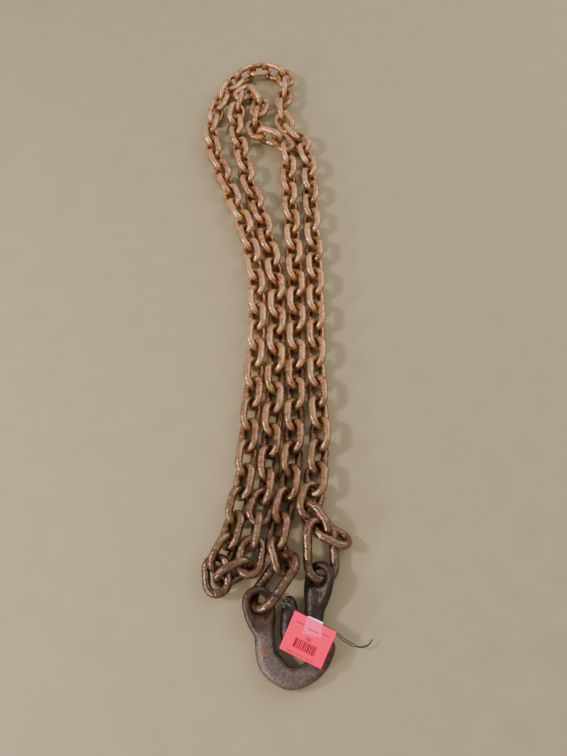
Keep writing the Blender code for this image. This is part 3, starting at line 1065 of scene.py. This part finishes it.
@dataclass
class Studio:
    """The camera at the photograph's angle, a pale floor and soft light."""

    eye: Row = (0.0311, -0.5374, 0.7042)
    tilt_down: float = 61.4
    focal_px: float = 571.0
    image_height_px: int = 756
    sensor_mm: float = 36.0
    near_clip: float = 0.01
    floor_half: float = 4.0
    floor_drop: float = 0.0003
    lamps: tuple[tuple, ...] = (
        ("key", (-1.45, -0.4, 1.35), (0.0, 0.0, 0.0), 0.22, 33.0, "#fff8f2"),
        ("door", (-1.5, -1.7, 0.70), (0.0, -0.2, 0.0), 0.30, 34.0, "#fffaf6"),
        ("fill", (1.5, 1.0, 1.5), (0.0, 0.0, 0.0), 1.8, 34.0, "#fff8ee"),
    )
    glow_colour: str = "#e9ebee"
    glow_strength: float = 1.20

    def camera(self) -> None:
        """Make the camera and set it first."""
        data = bpy.data.cameras.new("camera")
        data.sensor_fit = "VERTICAL"
        data.sensor_height = self.sensor_mm
        data.lens = self.sensor_mm * self.focal_px / self.image_height_px
        data.clip_start = self.near_clip
        seen = in_scene("camera", data)
        seen.location = self.eye
        seen.rotation_euler = (math.radians(90 - self.tilt_down), 0, 0)
        bpy.context.scene.camera = seen

    def light(self, name: str, spot: Row, aim: Row, size: float, power: float, colour: str) -> None:
        """Add one square area light.

        Args:
            name: the light's name.
            spot: where it is.
            aim: what it points at.
            size: its side.
            power: its power in watts.
            colour: its colour.
        """
        data = bpy.data.lights.new(name, "AREA")
        data.size, data.energy = size, power
        data.color = linear(colour)[:3]
        lamp = in_scene(name, data)
        lamp.location = spot
        lamp.rotation_euler = (Vector(aim) - Vector(spot)).to_track_quat("-Z", "Y").to_euler()

    def build(self) -> None:
        """Lay the floor and set the lights and the surrounding glow."""
        signs = np.array([[-1, -1, 0], [1, -1, 0], [1, 1, 0], [-1, 1, 0]])
        floor = mesh_piece("floor", signs * self.floor_half - UP * self.floor_drop, [[0, 1, 2, 3]])
        floor.data.materials.append(Plain("floor_pale", "#928366", "#88795a", 0.75, 40.0, 0.1).make())
        for lamp in self.lamps:
            self.light(*lamp)
        world = bpy.data.worlds.new("glow")
        world.use_nodes = True
        glow = world.node_tree.nodes["Background"]
        glow.inputs["Color"].default_value = linear(self.glow_colour)
        glow.inputs["Strength"].default_value = self.glow_strength
        bpy.context.scene.world = world


# The number of the first link of each kind of node
FIRST_NUMBERS = {"outer_run": 200, "single_link": 400, "slip_coupling": 420, "end_links": 430}
# Links laid one by one (x, y, z of the middle, heading, pitch, roll), routes (x, y, lift and flatness) and
# hook spines (x, y, share of the width), before the shift to the frame's origin. An eye is its place, height,
# outside width, and the direction of the line that it is tilted about with the tilt, in degrees
FIRST_LINK = (0.0189, -0.3927, 0.0150, 106, 1, -50)
NEAR_LOOP = [
    (-0.0035, -0.3339, 0.0160, -111, 5, 11), (-0.0097, -0.3635, 0.0176, -99, 0, 101),
    (-0.0150, -0.3933, 0.0170, -99, 0, -1), (-0.0346, -0.4111, 0.0166, 207, 0, 64),
    (-0.0543, -0.4143, 0.0150, 98, -1, 7), (-0.0480, -0.3892, 0.0153, 64, -1, -52),
]
LAST_LINKS = [
    (0.0564, -0.3268, 0.0173, -107, 3, 29), (0.0614, -0.3501, 0.0164, -55, 3, -55),
    (0.0813, -0.3682, 0.0144, -26, -2, 45),
]
SLIP_COUPLING = (0.0127, -0.4217, 0.0229, 53, 6, 46)
GRAB_COUPLING = (0.0669, -0.3854, 0.0176, -89, -4, 21)
INNER_ROUTE = [
    (0.0115, -0.4170, 0, 0.1), (0.0132, -0.3946, 0, 0), (0.0165, -0.3650, 0, 0), (0.0240, -0.3330, 0, 0),
    (0.0308, -0.3020, 0, 0), (0.0359, -0.2456, 0, 0), (0.0387, -0.1876, 0, 0), (0.0403, -0.1251, 0, 0),
    (0.0417, -0.0575, 0, 0), (0.0420, -0.0032, 0, 0), (0.0400, 0.0547, 0, 0), (0.0370, 0.1164, 0, 0),
    (0.0330, 0.1824, 0, 0), (0.0310, 0.2409, 0, 0), (0.0300, 0.2828, 0.0014, 0.4), (0.0230, 0.3173, 0, 1),
    (0.0050, 0.3340, 0, 1), (-0.0230, 0.3420, 0, 1), (-0.0300, 0.3780, 0, 1), (-0.0200, 0.4160, 0, 1),
    (-0.0185, 0.4465, 0, 1), (-0.0360, 0.4625, 0, 1), (-0.0545, 0.4505, 0, 1),
    (-0.0605, 0.4130, 0.0005, 0.5), (-0.0655, 0.3830, 0.0003, 0), (-0.0618, 0.3540, 0, 0),
    (-0.0578, 0.3278, 0, 0), (-0.0508, 0.3019, 0, 0), (-0.0452, 0.2700, 0, 0), (-0.0395, 0.2350, 0, 0),
    (-0.0318, 0.2043, 0, 0), (-0.0240, 0.1824, 0, 0), (-0.0120, 0.1379, 0, 0), (-0.0030, 0.0954, 0, 0),
    (0.0065, 0.0507, 0, 0), (0.0129, -0.0032, 0, 0), (0.0133, -0.0575, 0, 0), (0.0118, -0.1251, 0, 0),
    (0.0103, -0.1876, 0, 0), (0.0073, -0.2315, 0, 0), (0.0046, -0.2730, 0.0004, 0),
    (0.0030, -0.3050, 0.0012, 0.2), (-0.0020, -0.3400, 0, 1),
]
OUTER_ROUTE = [
    (-0.0406, -0.3698, 0, 0), (-0.0385, -0.3620, 0, 0), (-0.0319, -0.3330, 0, 0), (-0.0266, -0.3040, 0, 0),
    (-0.0248, -0.2864, 0, 0), (-0.0230, -0.2525, 0, 0), (-0.0216, -0.2315, 0, 0), (-0.0187, -0.1876, 0, 0),
    (-0.0167, -0.1251, 0, 0), (-0.0152, -0.0575, 0, 0), (-0.0167, -0.0032, 0, 0), (-0.0234, 0.0507, 0, 0),
    (-0.0316, 0.0912, 0, 0), (-0.0420, 0.1336, 0, 0), (-0.0600, 0.1824, 0, 0), (-0.0740, 0.2242, 0, 0),
    (-0.0880, 0.2654, 0, 0), (-0.1013, 0.3082, 0, 0), (-0.1083, 0.3500, 0, 0), (-0.1035, 0.3900, 0, 0),
    (-0.0945, 0.4330, 0.0005, 0.5), (-0.0775, 0.4780, 0, 1), (-0.0530, 0.5147, 0, 1),
    (-0.0260, 0.5257, 0, 1), (-0.0010, 0.5267, 0, 1), (0.0235, 0.5107, 0, 1), (0.0265, 0.4600, 0, 1),
    (0.0195, 0.4108, 0.0009, 1.5), (0.0220, 0.3773, 0.0003, 1.7), (0.0352, 0.3563, 0, 2),
    (0.0523, 0.3300, 0, 2), (0.0633, 0.2904, 0, 2), (0.0675, 0.2409, 0, 2), (0.0679, 0.1824, 0, 2),
    (0.0689, 0.1271, 0, 2), (0.0709, 0.0707, 0, 2), (0.0708, 0.0024, 0, 2), (0.0701, -0.0611, 0, 2),
    (0.0688, -0.1283, 0, 2), (0.0693, -0.1876, 0, 2), (0.0711, -0.2315, 0, 2), (0.0687, -0.2594, 0, 2),
    (0.0650, -0.2864, 0, 2), (0.0620, -0.3124, 0, 1.5), (0.0590, -0.3425, 0, 1), (0.0585, -0.3600, 0, 1),
    (0.0580, -0.3700, 0, 1),
]
SLIP_SPINE = [
    (-0.0052, -0.4575, 0.74), (-0.0014, -0.4659, 1.20), (0.0015, -0.4761, 1.00), (0.0033, -0.4922, 1.00),
    (0.0068, -0.5025, 1.10), (0.0140, -0.5110, 1.10), (0.0225, -0.5173, 1.00), (0.0310, -0.5202, 0.98),
    (0.0445, -0.5172, 0.94), (0.0564, -0.5102, 0.94), (0.0640, -0.5005, 0.98), (0.0684, -0.4900, 1.00),
    (0.0690, -0.4860, 0.92), (0.0689, -0.4815, 0.66), (0.0687, -0.4775, 0.28),
]
SLIP_EYE = ((-0.0057, -0.4448), 0.0170, 0.038, 65, 20)
GRAB_SPINE = [
    (0.0625, -0.4290, 1.25), (0.0605, -0.4385, 1.15), (0.0586, -0.4500, 0.98), (0.0563, -0.4620, 0.94),
    (0.0525, -0.4720, 0.88), (0.0488, -0.4795, 0.82), (0.0440, -0.4855, 0.80), (0.0380, -0.4880, 0.80),
    (0.0320, -0.4855, 0.80), (0.0290, -0.4785, 0.80), (0.0285, -0.4700, 0.82), (0.0292, -0.4600, 0.83),
    (0.0298, -0.4500, 0.80), (0.0297, -0.4430, 0.68), (0.0295, -0.4385, 0.48), (0.0293, -0.4360, 0.24),
]
GRAB_EYE = ((0.0645, -0.4168), 0.0165, 0.037, -95, 28)
TAG_CORNERS = [(0.0357, -0.4532), (0.0810, -0.4755), (0.0625, -0.5112), (0.0182, -0.4912)]
TIE_ROUTE = [
    (0.0058, -0.4343, 0.0262), (0.0072, -0.4358, 0.0362), (0.0110, -0.4384, 0.0438),
    (0.0166, -0.4412, 0.0436), (0.0212, -0.4438, 0.0368), (0.0246, -0.4460, 0.0285),
    (0.0292, -0.4490, 0.0243), (0.0370, -0.4530, 0.0231), (0.0480, -0.4590, 0.0230),
    (0.0600, -0.4655, 0.0230), (0.0720, -0.4715, 0.0225), (0.0809, -0.4765, 0.0210),
    (0.0880, -0.4815, 0.0180), (0.0956, -0.4856, 0.0140), (0.1030, -0.4882, 0.0105),
    (0.1095, -0.4891, 0.0085), (0.1165, -0.4870, 0.0080), (0.1225, -0.4809, 0.0075),
]
TAG_TOP = 0.0262
# The grey patch worn bare on the slip hook's bowl, and its orange spot: x, y, z and radius in the frame
WORN_BARE = (0.0290, -0.5190, 0.0180, 0.054)
ORANGE_SPOT = (0.0108, -0.5000, 0.0200, 0.0066)


def main() -> None:
    """Build the scene in order: camera, tie, chain, hooks, tag and studio."""
    logging.basicConfig(level=logging.INFO, format="%(name)s: %(message)s")
    studio = Studio()
    studio.camera()
    TagTie(TIE_ROUTE).build()
    Chain().build(RustedSteel("chain_steel_rusted").make())
    forging = {"metallic": 0.35, "roughness": 0.38, "specular": 0.4, "patch_mm": 22.0, "grain_mm": 1.4,
               "ochre_share": 0.12}
    slip = RustedSteel("slip_hook_steel", "#5c4231", "#865f48", "#a37b64", bloom="#a0602c", rose="#8c5c4c",
                       bare=WORN_BARE, spots=(ORANGE_SPOT,), **forging).make()
    # Darker copy of the hook steel for the grab hook: partly its own darker rust, partly painted shade for
    # the shadow it lies in under the tag
    grab = RustedSteel("grab_hook_steel_painted_shade", "#40291f", "#593a2b", "#6e4d3d", bloom="#5c3220", rose="#5b3932",
                       **forging).make()
    ForgedHook("slip_hook", SLIP_SPINE, *SLIP_EYE).build(slip)
    ForgedHook("grab_hook", GRAB_SPINE, *GRAB_EYE).build(grab)
    PriceTag(TAG_CORNERS, TAG_TOP).build()
    studio.build()


if __name__ == "__main__":
    main()
